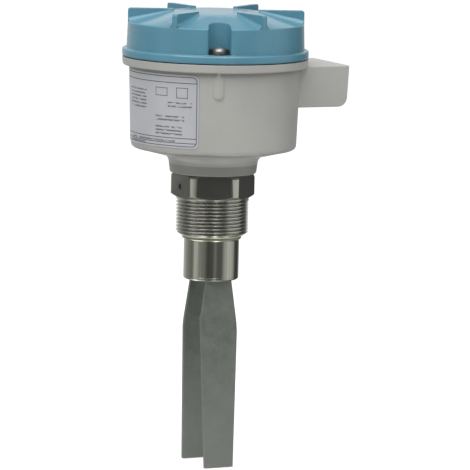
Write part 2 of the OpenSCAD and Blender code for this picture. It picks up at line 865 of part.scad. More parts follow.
// Lead from the stack up the axis to the board
module sensor_lead() {
    color(rubber_black) translate([0, 0, z_stud + lead_gap])
        cylinder(d = lead_d, h = z_parts - z_stud - lead_gap, $fn = small_fn);
}

// Plug of the lead, over the board's hole
module sensor_plug() {
    color(ceramic_white) board_box([0, 0], plug_size);
}

// Round board with its lead hole and screw holes
module circuit_board() {
    color(board_green) translate([0, 0, z_board]) difference() {
        cylinder(r = board_r, h = board_t);
        translate([0, 0, -cut]) cylinder(d = lead_hole_d, h = board_t + 2 * cut);
        for (a = pillar_turns) at(a, pillar_r) translate([0, 0, -cut])
            cylinder(r = board_screw_d / 2 + screw_clear, h = board_t + 2 * cut, $fn = small_fn);
    }
}

// Screws that hold the board on its pillars
module board_screws() {
    color(steel) for (a = pillar_turns) at(a, pillar_r) {
        translate([0, 0, z_parts]) cylinder(d = board_screw_head_d, h = board_screw_head_h, $fn = small_fn);
        translate([0, 0, z_parts - board_screw_l])
            cylinder(d = board_screw_d, h = board_screw_l + eps, $fn = small_fn);
    }
}

// Row of terminals that faces the cable entries
module terminal_block() {
    funnel_d = 4.4;
    funnel_l = 8;
    color(terminal_green) rotate([0, 0, block_turn]) difference() {
        board_box([0, -terminal_y], [terminal_w, terminal_d, terminal_h]);
        for (i = [0:terminals - 1]) translate([(i + 0.5) * terminal_pitch - terminal_w / 2, -terminal_y, 0]) {
            translate([0, 0, z_parts + terminal_h - terminal_screw_h])
                cylinder(r = terminal_screw_d / 2 + pilot_fit, h = terminal_screw_h + cut, $fn = small_fn);
            translate([0, -terminal_d / 2 - cut, z_parts + funnel_d]) rotate([-90, 0, 0])
                cylinder(d = funnel_d, h = funnel_l, $fn = small_fn);
        }
    }
}

// Slotted clamping screws of the terminals
module terminal_screws() {
    slot_w = 0.7;
    slot_h = 0.8;
    color(steel) rotate([0, 0, block_turn]) for (i = [0:terminals - 1])
        translate([(i + 0.5) * terminal_pitch - terminal_w / 2, -terminal_y,
            z_parts + terminal_h - terminal_screw_h])
            difference() {
                cylinder(d = terminal_screw_d, h = terminal_screw_h, $fn = small_fn);
                translate([-terminal_screw_d, -slot_w / 2, terminal_screw_h - slot_h])
                    cube([2 * terminal_screw_d, slot_w, slot_h + cut]);
            }
}

module relay() {
    color(relay_grey) rotate([0, 0, block_turn]) board_box(relay_at, relay_size);
}

module transformer() {
    color(relay_grey) rotate([0, 0, block_turn]) board_box(transformer_at, transformer_size);
}

module capacitor() {
    color(relay_grey) rotate([0, 0, block_turn]) translate([capacitor_at[0], capacitor_at[1], z_parts])
        cylinder(d = capacitor_d, h = capacitor_h);
}

// Lamp with a domed lens
module signal_lamp() {
    color(lamp_red) rotate([0, 0, block_turn]) translate([lamp_at[0], lamp_at[1], z_parts]) {
        cylinder(d = lamp_d, h = lamp_h - lamp_d / 2);
        translate([0, 0, lamp_h - lamp_d / 2]) sphere(d = lamp_d);
    }
}

// Slide switch body with the slot that its slider runs in
module switch_body(place) {
    slot = [slider_size[0] + switch_travel + 2 * slider_room, slider_size[1] + 2 * slider_room];
    rotate([0, 0, block_turn]) difference() {
        board_box(place, switch_size, small_edge);
        translate([place[0] - slider_size[0] / 2 - slider_room - switch_travel / 2, place[1] - slot[1] / 2,
            z_parts + switch_size[2] / 2]) cube([slot[0], slot[1], switch_size[2]]);
    }
}

// Slider at the left end of its slot
module switch_slider(place) {
    rotate([0, 0, block_turn])
        translate([place[0] - slider_size[0] / 2 - switch_travel / 2, place[1] - slider_size[1] / 2,
            z_parts + switch_size[2] / 2 + slider_room])
            linear_extrude(slider_size[2]) round_rect(slider_size[0], slider_size[1], slider_edge);
}

module mode_switch() {
    color(relay_grey) switch_body(mode_at);
}

module mode_slider() {
    color(ceramic_white) switch_slider(mode_at);
}

module sensitivity_switch() {
    color(relay_grey) switch_body(sensitivity_at);
}

module sensitivity_slider() {
    color(ceramic_white) switch_slider(sensitivity_at);
}

// Trimmer body with a round well for its rotor
module delay_trimmer() {
    color(trimmer_blue) rotate([0, 0, block_turn]) difference() {
        board_box(trimmer_at, trimmer_size, small_edge);
        translate([trimmer_at[0], trimmer_at[1], z_parts + trimmer_size[2] - rotor_sunk - slider_room])
            cylinder(r = rotor_d / 2 + rotor_clear, h = rotor_h + slider_room + cut);
    }
}

// Slotted rotor of the trimmer
module delay_rotor() {
    slot_w = 0.8;
    slot_h = 0.7;
    color(ceramic_white) rotate([0, 0, block_turn])
        translate([trimmer_at[0], trimmer_at[1], z_parts + trimmer_size[2] - rotor_sunk]) difference() {
            cylinder(d = rotor_d, h = rotor_h);
            translate([-rotor_d / 2 + slot_w, -slot_w / 2, rotor_h - slot_h])
                cube([rotor_d, slot_w, slot_h + cut]);
        }
}

housing();
lid();
lid_gasket();
lid_screws();
screw_grommets();
nameplate();
process_connection();
neck_seal();
retaining_ring();
stop_dowel();
stop_post();
sensor_tube();
diaphragm();
fork_blade_front();
fork_blade_rear();
drive_stud();
drive_ring();
pressure_plate();
insulator_rings();
piezo_rings();
contact_plates();
clamp_plate();
clamp_nut();
sensor_lead();
sensor_plug();
circuit_board();
board_screws();
terminal_block();
terminal_screws();
relay();
transformer();
capacitor();
signal_lamp();
mode_switch();
mode_slider();
sensitivity_switch();
sensitivity_slider();
delay_trimmer();
delay_rotor();
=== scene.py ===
# %% [markdown]
# # A tuning fork level switch in a small studio
# The CAD model gives every solid at its true size and place. This lesson dresses it: a camera at the
# photograph's angle, a pale floor, soft light, a finish for every surface, softened castings, cut
# threads and a weld. The solids are loaded first, and their box is kept for the floor.

# %% Load the packed solids
import json
import math

import bpy
from mathutils import Matrix, Vector


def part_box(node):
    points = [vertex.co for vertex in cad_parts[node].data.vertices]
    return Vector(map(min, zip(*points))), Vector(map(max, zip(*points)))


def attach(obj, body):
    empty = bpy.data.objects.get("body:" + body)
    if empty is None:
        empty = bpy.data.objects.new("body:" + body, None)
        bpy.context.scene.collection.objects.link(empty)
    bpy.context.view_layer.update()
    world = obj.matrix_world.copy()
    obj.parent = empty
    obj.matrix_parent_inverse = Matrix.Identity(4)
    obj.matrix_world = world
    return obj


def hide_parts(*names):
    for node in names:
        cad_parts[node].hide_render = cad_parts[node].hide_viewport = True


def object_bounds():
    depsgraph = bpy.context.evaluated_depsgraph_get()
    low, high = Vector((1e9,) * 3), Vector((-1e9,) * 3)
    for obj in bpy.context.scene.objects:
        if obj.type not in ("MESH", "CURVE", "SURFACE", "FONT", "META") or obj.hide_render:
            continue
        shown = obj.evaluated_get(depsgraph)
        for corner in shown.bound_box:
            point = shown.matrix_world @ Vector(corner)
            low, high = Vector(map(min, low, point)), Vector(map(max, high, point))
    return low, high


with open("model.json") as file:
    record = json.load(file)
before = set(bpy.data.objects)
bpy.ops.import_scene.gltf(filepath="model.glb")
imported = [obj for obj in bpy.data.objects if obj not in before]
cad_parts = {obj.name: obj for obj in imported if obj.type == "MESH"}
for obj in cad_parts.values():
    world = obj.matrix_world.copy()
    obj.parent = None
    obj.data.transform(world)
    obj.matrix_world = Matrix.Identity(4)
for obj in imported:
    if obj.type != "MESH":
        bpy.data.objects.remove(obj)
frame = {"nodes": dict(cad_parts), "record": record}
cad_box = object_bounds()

nodes = frame["nodes"]
MM = 0.001
print("solids:", len(nodes), "box in mm:", [round(c / MM, 1) for v in cad_box for c in v])

# %% [markdown]
# ## The camera
# The photograph is a long shot from the front, a little above the thread, turned slightly to the
# left and not quite level. A camera could be aimed with a Track To constraint, but the roll would be
# lost, so its three axes are worked out from yaw, pitch and roll and put in its matrix.

# %% Place the camera
PHOTO_PX = 470
FOCAL_PX = 3800
SENSOR_MM = 36
CAMERA_MM = Vector((0, -2480.3, 314.2))
FRONT_TURN = math.radians(-2.7)
YAW = math.radians(0.356)
PITCH = math.radians(7.796)
ROLL = math.radians(1.25)


def photo_camera():
    """Camera of the photograph: a long lens, slightly raised, rolled by a little over a degree."""
    run = math.cos(PITCH)
    ahead = Vector((math.sin(YAW) * run, math.cos(YAW) * run, -math.sin(PITCH)))
    level = Vector((math.cos(YAW), -math.sin(YAW), 0))
    above = level.cross(ahead)
    right = math.cos(ROLL) * level + math.sin(ROLL) * above
    up = math.cos(ROLL) * above - math.sin(ROLL) * level
    axes = Matrix((right, up, -ahead)).transposed().to_4x4()
    data = bpy.data.cameras.new("photo_camera")
    data.sensor_width = SENSOR_MM
    data.lens = FOCAL_PX / PHOTO_PX * SENSOR_MM
    camera = bpy.data.objects.new("photo_camera", data)
    bpy.context.scene.collection.objects.link(camera)
    to_front = Matrix.Rotation(FRONT_TURN, 4, "Z")
    camera.matrix_world = to_front @ Matrix.Translation(CAMERA_MM * MM) @ axes
    bpy.context.scene.camera = camera
    return camera


camera = photo_camera()
spot = [round(c, 3) for c in camera.matrix_world.translation]
print("camera at", spot, "lens", round(camera.data.lens, 1))

# %% [markdown]
# ## Shader maths in plain expressions
# A finish is a small sum: a base tone, plus clouds, plus specks. Wiring Math nodes by hand hides
# that sum, so one class wraps an output socket and lets Python's operators add the nodes. Colours and
# vectors don't go through Math nodes, so they have methods of their own.


# %% A socket that can be added and multiplied
class Wire:
    """One output of a node tree. Arithmetic on it adds Math nodes."""

    def __init__(self, tree, socket):
        self.tree = tree
        self.socket = socket

    def node(self, kind, settings, sockets, out=0):
        """Adds any node: its settings first, then the values or wires of its sockets."""
        made = self.tree.nodes.new(kind)
        for name, value in settings.items():
            if name == "stops":
                ramp = made.color_ramp.elements
                while len(ramp) < len(value):
                    ramp.new(0.5)
                for stop, (place, level) in zip(ramp, value):
                    stop.position = place
                    stop.color = (level, level, level, 1)
            else:
                setattr(made, name, value)
        for name, value in sockets.items():
            feed(self.tree, made.inputs[name], value)
        return Wire(self.tree, made.outputs[out])

    def math(self, operation, *values):
        return self.node("ShaderNodeMath", {"operation": operation}, dict(enumerate(values)))

    def __add__(self, other):
        return self.math("ADD", self, other)

    def __radd__(self, other):
        return self.math("ADD", other, self)

    def __sub__(self, other):
        return self.math("SUBTRACT", self, other)

    def __rsub__(self, other):
        return self.math("SUBTRACT", other, self)

    def __mul__(self, other):
        return self.math("MULTIPLY", self, other)

    def __rmul__(self, other):
        return self.math("MULTIPLY", other, self)

    def __gt__(self, other):
        return self.math("GREATER_THAN", self, other)

    def __lt__(self, other):
        return self.math("LESS_THAN", self, other)

    def size(self):
        return self.math("ABSOLUTE", self)

    def root(self):
        return self.math("SQRT", self)

    def at_least(self, low):
        return self.math("MAXIMUM", self, low)

    def rise(self, low, high):
        """0 below low, 1 above high, and smooth between them."""
        sockets = {"Value": self, "From Min": low, "From Max": high}
        return self.node("ShaderNodeMapRange", {"interpolation_type": "SMOOTHSTEP"}, sockets)

    def split(self):
        """The three coordinates of a vector."""
        parts = self.node("ShaderNodeSeparateXYZ", {}, {"Vector": self}).socket.node
        return [Wire(self.tree, socket) for socket in parts.outputs]

    def ray(self, kind):
        """1 for light rays of one kind, and 0 for all others."""
        return self.node("ShaderNodeLightPath", {}, {}, out=kind)

    def stretch(self, x, y, z):
        """Coordinates times three factors. A large factor makes a pattern finer in that direction."""
        return self.node("ShaderNodeMapping", {}, {"Vector": self, "Scale": (x, y, z)})

    def noise(self, per_metre, detail=2.0, roughness=0.5):
        sockets = {"Vector": self, "Scale": per_metre, "Detail": detail, "Roughness": roughness}
        return self.node("ShaderNodeTexNoise", {}, sockets)

    def blend(self, low, high):
        """Colour between two colours, with this wire as the share of the second."""
        sockets = {0: self, 6: tone(low), 7: tone(high)}
        return self.node("ShaderNodeMix", {"data_type": "RGBA"}, sockets, out=2)

    def soft_edges(self, radius_mm):
        """Normals that run round the edges, concave ones too."""
        return self.node("ShaderNodeBevel", {"samples": 6}, {"Radius": radius_mm * MM})

    def bump(self, height_mm, strength, normal=None):
        sockets = {"Height": self, "Distance": height_mm * MM, "Strength": strength}
        if normal:
            sockets["Normal"] = normal
        return self.node("ShaderNodeBump", {}, sockets)


print("shader maths:", Wire.__doc__)


# %% Start and close a finish
def tone(colour):
    """A plain colour gets its alpha. A wire or a number stays as it is."""
    return (*colour, 1) if isinstance(colour, tuple) else colour


def feed(tree, socket, value):
    """Links a wire to the socket, or sets the socket's own value."""
    if isinstance(value, Wire):
        tree.links.new(value.socket, socket)
    else:
        socket.default_value = value


def new_finish(name):
    """An empty material, and the object coordinates that its patterns read."""
    material = bpy.data.materials.new(name)
    material.use_nodes = True
    place = material.node_tree.nodes.new("ShaderNodeTexCoord")
    return material, Wire(material.node_tree, place.outputs["Object"])


def close_finish(material, **sockets):
    """Feeds the shader. A socket's name is written with _ in place of its spaces."""
    shader = material.node_tree.nodes["Principled BSDF"]
    for name, value in sockets.items():
        feed(material.node_tree, shader.inputs[name.replace("_", " ")], tone(value))
    return material


print("a finish starts with", new_finish.__name__, "and ends with", close_finish.__name__)

# %% [markdown]
# ## The studio
# The object stands on its fork tips on a pale floor, under one large soft lamp. That is enough for
# paint, but steel shows whatever stands round it. So the world is drawn as a studio: white behind the
# object, dim behind the camera, soft panels at the sides, a faint glow that the lid's slope mirrors,
# and rows of lamps overhead and underfoot, which the thread shows as light and dark columns. Only
# reflections see that studio. Camera rays see white, and other rays an even grey. The floor is grey to
# the light, so that the shade under the flange stays deep, and white to the camera.

# %% Floor and lamp
FLOOR_SIZE = 40.0
FLOOR_GAP = 0.0004
FLOOR_TONES = (0.58, 0.58, 0.58), (0.62, 0.62, 0.62)
FLOOR_ROUGHNESS = 0.9
FLOOR_LIFT = 0.72
LAMP_SIZE = 1.6
LAMP_AT = (-0.18, -0.6, 1.3)
LAMP_WATTS = 22.0


def pale_floor():
    bpy.ops.object.select_all(action="DESELECT")
    bpy.ops.mesh.primitive_plane_add(size=FLOOR_SIZE, location=(0, 0, cad_box[0].z - FLOOR_GAP))
    floor = bpy.context.object
    floor.name = "studio_floor"
    material, place = new_finish("studio_floor")
    grain = place.noise(per_metre=3.0)
    close_finish(material, Base_Color=grain.blend(*FLOOR_TONES), Roughness=FLOOR_ROUGHNESS)
    tree = material.node_tree
    lit = Wire(tree, tree.nodes["Principled BSDF"].outputs[0])
    lift = lit.node("ShaderNodeEmission", {}, {"Strength": FLOOR_LIFT})
    white = lit.node("ShaderNodeAddShader", {}, {0: lit, 1: lift})
    seen = lit.node("ShaderNodeMixShader", {}, {0: lit.ray("Is Camera Ray"), 1: lit, 2: white})
    clear = lit.node("ShaderNodeBsdfTransparent", {}, {})
    shown = lit.node("ShaderNodeMixShader", {}, {0: lit.ray("Is Glossy Ray"), 1: seen, 2: clear})
    feed(tree, tree.nodes["Material Output"].inputs[0], shown)
    floor.data.materials.append(material)
    return floor


def overhead_lamp():
    data = bpy.data.lights.new("overhead_softbox", "AREA")
    data.shape = "SQUARE"
    data.size = LAMP_SIZE
    data.energy = LAMP_WATTS
    lamp = bpy.data.objects.new("overhead_softbox", data)
    bpy.context.scene.collection.objects.link(lamp)
    lamp.location = LAMP_AT
    lamp.rotation_euler = (-lamp.location).to_track_quat("-Z", "Y").to_euler()
    return lamp


bpy.context.scene.view_settings.view_transform = "Standard"
floor = pale_floor()
lamp = overhead_lamp()
print("floor at", round(floor.location.z / MM, 1), "mm, lamp", lamp.data.energy, "W")

# %% World with a studio for reflections
# Each stop is a bearing in degrees and the wall's level there. 0 is behind the camera, 90 on the right.
WALL_LEVELS = [
    (-180, 0.8), (-150, 0.6), (-104, 0.2), (-86, 0.2), (-76, 0.55), (-64, 0.55),
    (-50, 0.26), (-34, 0.22), (-16, 0.07), (2, 0.08), (14, 0.22), (26, 0.1),
    (42, 0.1), (56, 0.52), (94, 0.6), (112, 0.06), (138, 0.06), (180, 0.8),
]
# Each stop is a place across the rows, as x over height, and the level there.
LAMP_ROWS = [
    (-1, 0.1), (-0.82, 0.1), (-0.7, 0.95), (-0.44, 0.95), (-0.32, 0.1), (0.02, 0.1),
    (0.1, 1.0), (0.3, 1.0), (0.4, 0.1), (0.7, 0.1), (0.8, 0.9), (1, 0.9),
]
LEAST_HEIGHT = 0.05
# A pair says where something starts and where it is full, in a direction's z or y from 0 to 1.
WALL_TOP = (0.25, 0.6)
WALL_FOOT = (0.3, 0.6)
DIMMER_ABOVE = 0.75
DIMMER_BELOW = 0.7
GLOW_BACK = (0.6, 0.9)
GLOW_FOOT = (0.2, 0.32)
GLOW_TOP = (0.42, 0.56)
GLOW_LEVEL = 0.35
OVERHEAD = (0.6, 0.85)
OVERHEAD_LEVEL = 1.8
UNDERFOOT = (0.6, 0.9)
UNDERFOOT_LEVEL = 2.7
AMBIENT = 0.48


def studio_world():
    world = bpy.data.worlds.new("studio")
    bpy.context.scene.world = world
    world.use_nodes = True
    tree = world.node_tree
    way = Wire(tree, tree.nodes.new("ShaderNodeTexCoord").outputs["Generated"])
    x, y, z = way.split()
    below = 0 - z
    bearing = way.math("ARCTAN2", x, -1.0 * y) * (0.5 / math.pi) + 0.5
    stops = [(0.5 + degrees / 360, level) for degrees, level in WALL_LEVELS]
    panels = way.node("ShaderNodeValToRGB", {"stops": stops}, {"Fac": bearing})
    dim_above = 1 - DIMMER_ABOVE * z.rise(*WALL_TOP)
    dim_below = 1 - DIMMER_BELOW * below.rise(*WALL_FOOT)
    walls = panels * dim_above * dim_below
    across = way.math("DIVIDE", x, z.size().at_least(LEAST_HEIGHT)) * 0.5 + 0.5
    rows = [(0.5 + at / 2, level) for at, level in LAMP_ROWS]
    lamps = way.node("ShaderNodeValToRGB", {"stops": rows}, {"Fac": across})
    overhead = OVERHEAD_LEVEL * z.rise(*OVERHEAD)
    underfoot = UNDERFOOT_LEVEL * below.rise(*UNDERFOOT)
    glow = GLOW_LEVEL * y.rise(*GLOW_BACK) * z.rise(*GLOW_FOOT) * (1 - z.rise(*GLOW_TOP))
    studio = walls + glow + lamps * (overhead + underfoot)
    seen = way.ray("Is Camera Ray") + way.ray("Is Transmission Ray")
    glossy = way.ray("Is Glossy Ray")
    level = seen + glossy * studio + (1 - seen - glossy) * AMBIENT
    background = tree.nodes["Background"].inputs
    feed(tree, background["Strength"], level)
    background["Color"].default_value = (1, 1, 1, 1)
    return world


world = studio_world()
print("world:", world.name, "with", len(world.node_tree.nodes), "nodes")

# %% [markdown]
# ## Paint on the castings
# The enclosure is a die casting with a smooth light powder coat, and the lid one with a glossier blue
# coat. Real coats are never one flat colour: they have faint clouds, a fine skin like orange peel, and
# a gloss that wanders a little. Noise at three sizes gives all of that. The turned ring at the foot of
# the neck has no coat, so it is darker. Shade is painted into the coat's colour in the corner under the
# flange and along the edge under the base. A casting's edges are soft, and the Bevel node rounds them
# in the shading without touching the mesh.

# %% Enclosure paint
NECK_TOP = 22.3
NECK_EDGE = 0.4
NECK_TONE = (0.31, 0.318, 0.296)
COAT_TONES = (0.43, 0.43, 0.405), (0.49, 0.488, 0.46)
FLANGE_UNDER = 86.7
FLANGE_ROOT_R = 56.9
# Painted shade: how dark it gets, and where it starts and is full, under the flange and under the base.
FLANGE_SHADE = 0.7
FLANGE_SHADE_FROM = 4.5
FLANGE_SHADE_FULL = 0.3
BASE_UNDER = 32.3
BASE_ROOT_R = 46.0
BASE_SHADE = 0.6
BASE_SHADE_FULL = 0.3
BASE_SHADE_END = 1.3
PAINTED_SHADE_TONE = (0.2, 0.198, 0.185)


# Shade painted into the colour: darker in the corner under the flange and on the edge under the base.
def painted_corner_shade(place):
    """Share of painted shade in the corner under the flange and on the edge under the base."""
    x, y, z = place.split()
    radius = (x * x + y * y).root()
    corner = z.rise((FLANGE_UNDER - FLANGE_SHADE_FROM) * MM, (FLANGE_UNDER - FLANGE_SHADE_FULL) * MM)
    under_flange = corner * (z < FLANGE_UNDER * MM) * (radius < FLANGE_ROOT_R * MM)
    edge = 1 - z.rise((BASE_UNDER + BASE_SHADE_FULL) * MM, (BASE_UNDER + BASE_SHADE_END) * MM)
    under_base = edge * (radius > BASE_ROOT_R * MM)
    return FLANGE_SHADE * under_flange + BASE_SHADE * under_base


def enclosure_paint():
    material, place = new_finish("enclosure_paint")
    clouds = place.noise(per_metre=24.0, detail=3.0)
    specks = place.noise(per_metre=1400.0, detail=1.0)
    shade = 0.7 * clouds + 0.3 * specks
    skin = place.noise(per_metre=750.0)
    z = place.split()[2]
    neck = 1 - z.rise(NECK_TOP * MM, (NECK_TOP + NECK_EDGE) * MM)
    coat = shade.rise(0.25, 0.75).blend(*COAT_TONES)
    # The coat is darkened there by the painted shade.
    shaded_coat = painted_corner_shade(place).blend(coat, PAINTED_SHADE_TONE)
    return close_finish(
        material,
        Base_Color=neck.blend(shaded_coat, NECK_TONE),
        Roughness=0.34 + 0.12 * clouds,
        Normal=skin.bump(height_mm=0.05, strength=0.35, normal=place.soft_edges(0.5)),
    )


finishes = {"enclosure_paint": enclosure_paint()}
print("finishes:", list(finishes))

# %% Lid paint
LID_TONES = (0.096, 0.262, 0.346), (0.113, 0.294, 0.391)


def lid_paint():
    material, place = new_finish("lid_paint")
    clouds = place.noise(per_metre=30.0, detail=3.0)
    specks = place.noise(per_metre=1600.0, detail=1.0)
    shade = 0.75 * clouds + 0.25 * specks
    skin = place.noise(per_metre=600.0)
    return close_finish(
        material,
        Base_Color=shade.rise(0.25, 0.75).blend(*LID_TONES),
        Roughness=0.2 + 0.1 * clouds,
        Coat_Weight=0.15,
        Coat_Roughness=0.08,
        Normal=skin.bump(height_mm=0.05, strength=0.35, normal=place.soft_edges(1.3)),
    )


finishes["lid_paint"] = lid_paint()
print("finishes:", list(finishes))

# %% [markdown]
# ## Steel
# The process connection is turned, so its skin carries fine rings round the axis. The hexagon's flats
# are left as rolled, dark and dull, and only the lands at its corners are turned. The thread's crests
# are bright, and shade is painted into its grooves as a darker colour. The tube is drawn and then
# turned lightly, so it has streaks along it as well as rings, and the short nose above it is duller.
# The fork
# is blasted sheet: dull and mottled, and paler towards its worn tips. The screws are plated and a
# little dull. Rings and streaks are the same noise, squeezed along Z or stretched along it.

# %% Turned steel
LAND_R = 27.4
HEX_TOP = 15.5
FLAT_BELOW_TOP = 0.1
FLAT_LOW = 0.4
FLAT_TONE = (0.275, 0.284, 0.254)
PIPE_ROOT_R = 22.5
GROOVE_DARK = 0.2
GROOVE_CLEAR = 1.0
# The grooves' tone is painted shade, darker than the steel around it.
GROOVE_SHADE_TONE = (0.36, 0.362, 0.33)
CREST_TONE = (0.68, 0.68, 0.625)
THREAD_END = -24.6
TUBE_TOP = -27.0
STREAK_SHARE = 0.5
STREAK_TONE = (0.36, 0.36, 0.315)
TURNED_TONES = (0.60, 0.608, 0.51), (0.70, 0.71, 0.605)


def turned_steel():
    material, place = new_finish("stainless")
    x, y, z = place.split()
    radius = (x * x + y * y).root()
    rings = place.stretch(6, 6, 2600).noise(per_metre=1.0, detail=3.0)
    patches = place.noise(per_metre=60.0, detail=3.0)
    thread = (z < 0.0) * (z > THREAD_END * MM) * (radius > PIPE_ROOT_R * MM)
    out_of_groove = radius.rise((PIPE_ROOT_R + GROOVE_DARK) * MM, (PIPE_ROOT_R + GROOVE_CLEAR) * MM)
    # Painted shade in the thread's grooves: the colour darkens towards the root.
    grooves = thread * (1 - out_of_groove)
    streaks = place.stretch(520, 520, 4).noise(per_metre=1.0).rise(0.35, 0.65) * (z < TUBE_TOP * MM)
    flats = (radius < LAND_R * MM) * (z > FLAT_LOW * MM) * (z < (HEX_TOP - FLAT_BELOW_TOP) * MM)
    nose = (z < THREAD_END * MM) * (z > TUBE_TOP * MM)
    drawn = (STREAK_SHARE * streaks).blend(patches.blend(*TURNED_TONES), STREAK_TONE)
    crests = thread.blend(drawn, CREST_TONE)
    threaded = grooves.blend(crests, GROOVE_SHADE_TONE)
    return close_finish(
        material,
        Base_Color=flats.blend(threaded, FLAT_TONE),
        Metallic=1 - 0.1 * thread,
        Roughness=0.12 + 0.07 * rings + 0.05 * patches + 0.22 * flats + 0.25 * nose - 0.06 * thread,
        Normal=rings.bump(height_mm=0.006, strength=0.4, normal=place.soft_edges(0.3)),
    )


finishes["stainless"] = turned_steel()
print("finishes:", list(finishes))

# %% Blasted steel
FORK_CLEAN = -70.0
FORK_WORN = -175.0
FORK_WEAR = 0.5
FORK_TONES = (0.25, 0.273, 0.243), (0.352, 0.38, 0.341)
FORK_WORN_TONE = (0.52, 0.55, 0.51)


def blasted_steel():
    material, place = new_finish("fork_steel")
    mottle = place.noise(per_metre=120.0, detail=4.0, roughness=0.6)
    grit = place.noise(per_metre=1500.0)
    z = place.split()[2]
    worn = FORK_WEAR * (1 - z.rise(FORK_WORN * MM, FORK_CLEAN * MM))
    shade = 0.55 * mottle + 0.45 * grit
    dull = shade.rise(0.3, 0.7).blend(*FORK_TONES)
    return close_finish(
        material,
        Base_Color=worn.blend(dull, FORK_WORN_TONE),
        Metallic=0.8,
        Roughness=0.46 + 0.16 * mottle,
        Normal=grit.bump(height_mm=0.04, strength=0.5),
    )


finishes["fork_steel"] = blasted_steel()
print("finishes:", list(finishes))

# %% Plated steel
SCREW_TONES = (0.33, 0.325, 0.295), (0.46, 0.452, 0.415)


def plated_steel():
    material, place = new_finish("fastener_steel")
    wear = place.noise(per_metre=500.0, detail=3.0)
    return close_finish(
        material,
        Base_Color=wear.blend(*SCREW_TONES),
        Metallic=0.9,
        Roughness=0.36 + 0.16 * wear,
        Normal=wear.bump(height_mm=0.01, strength=0.5),
    )


finishes["fastener_steel"] = plated_steel()
print("finishes:", list(finishes))

# %% [markdown]
# ## The nameplate
# The plate is a satin foil that is bent round the wall. Its print is left generic: a rounded border, a
# head rule, two foot rules, two empty fields and some rows of plain bars. The print follows the curved
# plate, so it is drawn in the plate's own two directions: the distance round the wall, from the angle
# of a point, and the height. A rounded border is the set of points at one distance from a smaller box.

# %% Lines, bands and a rounded box
RULE_MM = 0.5
PRINT_EDGE = 0.1
BORDER_IN = 1.3
BORDER_ROUND = 3.0


def line(distance, at, thick=RULE_MM):
    """1 on a line across a distance, and 0 beside it."""
    return 1 - (distance - at).size().rise(thick * 0.3, thick * 0.7)


def within(distance, start, end):
    """1 between two places along a distance."""
    after_start = distance.rise(start - PRINT_EDGE, start + PRINT_EDGE)
    return after_start * (1 - distance.rise(end - PRINT_EDGE, end + PRINT_EDGE))


def outside(distance, half):
    """How far a point lies outside the smaller box that the rounded border runs round."""
    return ((distance - half).size() - (half - BORDER_IN - BORDER_ROUND)).at_least(0.0)


print("rules are", RULE_MM, "mm wide, the border", BORDER_IN, "mm in")

# %% Foil with a plain printed form
PLATE_NEAR = math.radians(13)
PLATE_SPAN = math.radians(93)
PLATE_RADIUS = 55.2
HEAD_RULE = 5.2
FOOT_RULES = (3.3, 6.4)
ROW_STEP = 2.25
ROW_FIRST = 8.9
BAR_MM = 1.1
BAR_INK = 0.7
FIELD_INK = 0.8
FIELD_CORNER = 0.3
# Start and end round the wall, then bottom and top, in millimetres from the plate's near lower corner.
BAR_BLOCKS = [
    (4.5, 21.5, 25.8, 30.3), (9.5, 31.5, 16.8, 21.3), (11.0, 31.5, 7.8, 14.5),
    (40.0, 62.0, 24.0, 36.5), (16.0, 62.0, 3.9, 5.0), (42.0, 62.0, 1.7, 2.7),
]
EMPTY_FIELDS = [(22.0, 31.0, 33.5, 38.5), (7.5, 15.0, 32.5, 39.0)]
FOIL_TONES = (0.57, 0.585, 0.618), (0.65, 0.664, 0.697)
INK_TONE = (0.11, 0.115, 0.125)


def plate_print(place, across, up, width, height):
    """Share of ink on the plate."""
    side = outside(across, width / 2)
    top = outside(up, height / 2)
    from_box = (side * side + top * top).root()
    inside = 1 - from_box.rise(BORDER_ROUND - PRINT_EDGE, BORDER_ROUND + PRINT_EDGE)
    rules = line(up, height - HEAD_RULE) + sum(line(up, at) for at in FOOT_RULES)
    ink = line(from_box, BORDER_ROUND) + rules * inside
    for start, end, bottom, head in EMPTY_FIELDS:
        edges = line(across, start) + line(across, end) + line(up, bottom) + line(up, head)
        wide = within(across, start - FIELD_CORNER, end + FIELD_CORNER)
        high = within(up, bottom - FIELD_CORNER, head + FIELD_CORNER)
        ink = ink + FIELD_INK * edges * wide * high
    rows = line(place.math("PINGPONG", up - ROW_FIRST, ROW_STEP / 2), 0.0, BAR_MM)
    words = place.stretch(330, 330, 900).noise(per_metre=1.0, detail=1.0).rise(0.36, 0.44)
    blocks = [
        within(across, start, end) * within(up, bottom, head)
        for start, end, bottom, head in BAR_BLOCKS
    ]
    return (ink + BAR_INK * sum(blocks) * rows * words).rise(0.0, 1.0)


def plate_foil():
    material, place = new_finish("plate_foil")
    low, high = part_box("nameplate")
    x, y, z = place.split()
    across = (place.math("ARCTAN2", -1.0 * x, -1.0 * y) - PLATE_NEAR) * PLATE_RADIUS
    up = (z - low.z) * (1 / MM)
    ink = plate_print(place, across, up, PLATE_SPAN * PLATE_RADIUS, (high.z - low.z) / MM)
    haze = place.noise(per_metre=90.0, detail=3.0)
    return close_finish(
        material,
        Base_Color=ink.blend(haze.blend(*FOIL_TONES), INK_TONE),
        Metallic=0.25,
        Roughness=0.42 + 0.12 * haze,
        Normal=place.noise(per_metre=900.0).bump(height_mm=0.01, strength=0.3),
    )


finishes["plate_foil"] = plate_foil()
print("nameplate print:", len(BAR_BLOCKS), "blocks of bars and", len(EMPTY_FIELDS), "fields")

# %% [markdown]
# ## Rubber, board and inner parts
# Most of these sit inside the closed enclosure and show only when it is opened. They still get real
# finishes: rubber with a matt bloom, a board with copper tracks under green resist, and moulded parts
# whose skin has the fine grain of a spark-eroded tool.

# %% Rubber and the electronics' finishes
RUBBER_TONES = (0.012, 0.012, 0.013), (0.035, 0.035, 0.036)
BOARD_TONES = (0.02, 0.115, 0.055), (0.035, 0.17, 0.085)
BRASS_TONES = (0.55, 0.38, 0.13), (0.72, 0.54, 0.22)


